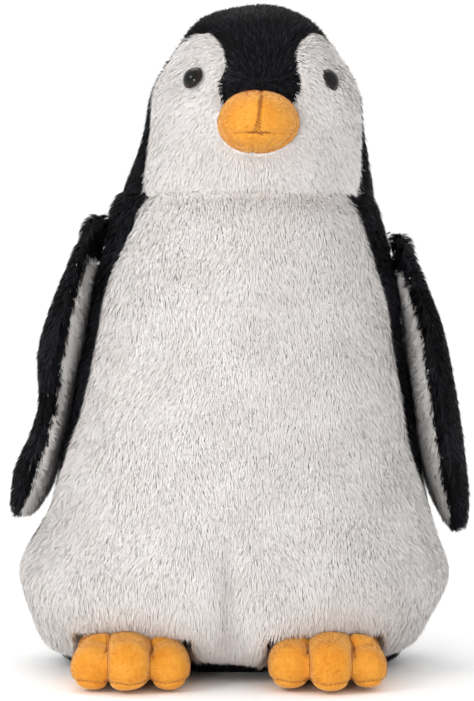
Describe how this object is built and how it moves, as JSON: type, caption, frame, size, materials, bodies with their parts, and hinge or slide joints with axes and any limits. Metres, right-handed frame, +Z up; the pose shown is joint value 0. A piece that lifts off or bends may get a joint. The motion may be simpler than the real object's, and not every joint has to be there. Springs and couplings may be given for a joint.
{
  "type": "plush penguin",
  "caption": "Stuffed plush penguin that stands on a flat base and soft feet, with liftable flippers, drooping feet, a head that twists and a padded beak.",
  "frame": {"origin": "on the floor under the middle of the body, on the flat base", "axes": "+Z up, the penguin faces -Y, +X to its own left side"},
  "size_m": [0.3695, 0.2981, 0.5249],
  "materials": {
    "white_plush": "warm white long-pile plush, about 10 mm pile",
    "black_plush": "black long-pile plush",
    "orange_velour": "short-nap orange velour",
    "fibre_fill": "loose polyester fibre filling",
    "eye_gloss": "glossy black moulded eye",
    "washer_plastic": "natural nylon locking washer",
    "orange_thread": "twisted polyester thread",
    "black_thread": "twisted polyester thread"
  },
  "bodies": {
    "body": {"base_panel": "black_plush", "belly_panel": "white_plush", "back_panel_left": "black_plush", "back_panel_right": "black_plush", "body_stuffing": "fibre_fill"},
    "head": {"head_cap": "black_plush", "head_back": "black_plush", "cheek_left": "white_plush", "cheek_right": "white_plush", "head_stuffing": "fibre_fill", "eye_left": "eye_gloss", "eye_right": "eye_gloss", "eye_washer_left": "washer_plastic", "eye_washer_right": "washer_plastic", "beak_upper_left": "orange_velour", "beak_upper_right": "orange_velour", "beak_lower": "orange_velour", "beak_stuffing": "fibre_fill", "beak_seam_thread": "orange_thread", "mouth_thread": "orange_thread"},
    "shoulder_left": {"shoulder_thread_left": "black_thread"},
    "flipper_left": {"flipper_outer_left": "black_plush", "flipper_lining_left": "white_plush", "flipper_filling_left": "fibre_fill"},
    "foot_left": {"foot_upper_left": "orange_velour", "foot_sole_left": "orange_velour", "foot_stuffing_left": "fibre_fill", "toe_thread_left": "orange_thread"},
    "shoulder_right": {"shoulder_thread_right": "black_thread"},
    "flipper_right": {"flipper_outer_right": "black_plush", "flipper_lining_right": "white_plush", "flipper_filling_right": "fibre_fill"},
    "foot_right": {"foot_upper_right": "orange_velour", "foot_sole_right": "orange_velour", "foot_stuffing_right": "fibre_fill", "toe_thread_right": "orange_thread"}
  },
  "joints": [
    {"name": "head_turn", "type": "hinge", "parent": "body", "child": "head", "pos_m": [0.0098, 0, 0.378], "axis": [0, 0, 1], "range_deg": [-15, 15], "stiffness_Nm_per_rad": 1.2},
    {"name": "flipper_swing_left", "type": "hinge", "parent": "body", "child": "shoulder_left", "pos_m": [-0.10098, 0.004, 0.361], "axis": [1, 0, 0], "range_deg": [-20, 20]},
    {"name": "flipper_lift_left", "type": "hinge", "parent": "shoulder_left", "child": "flipper_left", "pos_m": [-0.10098, 0.004, 0.361], "axis": [0, 1, 0], "range_deg": [0, 85]},
    {"name": "foot_droop_left", "type": "hinge", "parent": "body", "child": "foot_left", "pos_m": [-0.0797, -0.07, 0.0205], "axis": [1, 0, 0], "range_deg": [0, 35]},
    {"name": "flipper_swing_right", "type": "hinge", "parent": "body", "child": "shoulder_right", "pos_m": [0.12156, 0.004, 0.349], "axis": [1, 0, 0], "range_deg": [-20, 20]},
    {"name": "flipper_lift_right", "type": "hinge", "parent": "shoulder_right", "child": "flipper_right", "pos_m": [0.12156, 0.004, 0.349], "axis": [0, -1, 0], "range_deg": [0, 85]},
    {"name": "foot_droop_right", "type": "hinge", "parent": "body", "child": "foot_right", "pos_m": [0.068, -0.07, 0.0205], "axis": [1, 0, 0], "range_deg": [0, 35]}
  ]
}
